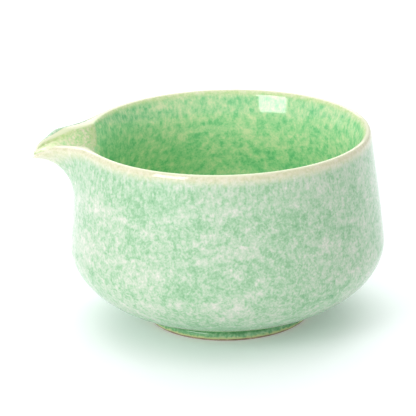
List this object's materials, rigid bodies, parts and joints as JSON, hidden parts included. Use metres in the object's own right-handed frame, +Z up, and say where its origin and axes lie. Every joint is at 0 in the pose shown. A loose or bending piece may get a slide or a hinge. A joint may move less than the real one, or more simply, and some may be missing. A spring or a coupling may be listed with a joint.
{
  "type": "spouted matcha bowl",
  "caption": "Round tea bowl on a low foot ring, wide enough to whisk in, with a short pouring spout at the rim and a mottled green glaze.",
  "frame": {"origin": "centre of the foot's resting face, on the bowl's axis", "axes": "+Z up along the bowl's axis; the spout points along -X"},
  "size_m": [0.1349, 0.122, 0.0742],
  "materials": {
    "body_clay": "fired stoneware, all under glaze",
    "foot_clay": "fired stoneware, bare and matt where it stands",
    "liner_glaze": "gloss, mottled spring green",
    "outer_glaze": "gloss, mint green with cream flecks",
    "rim_glaze": "gloss, pale cream where it thins",
    "spout_glaze": "gloss, cream to mint",
    "foot_glaze": "gloss, pooled dark green",
    "base_glaze": "gloss, mint green"
  },
  "bodies": {
    "root": {"bowl_body": "body_clay", "foot_ring": "foot_clay", "pouring_spout": "body_clay", "liner_glaze": "liner_glaze", "outer_glaze": "outer_glaze", "rim_glaze": "rim_glaze", "spout_glaze": "spout_glaze", "foot_glaze": "foot_glaze", "base_glaze": "base_glaze"}
  },
  "joints": []
}
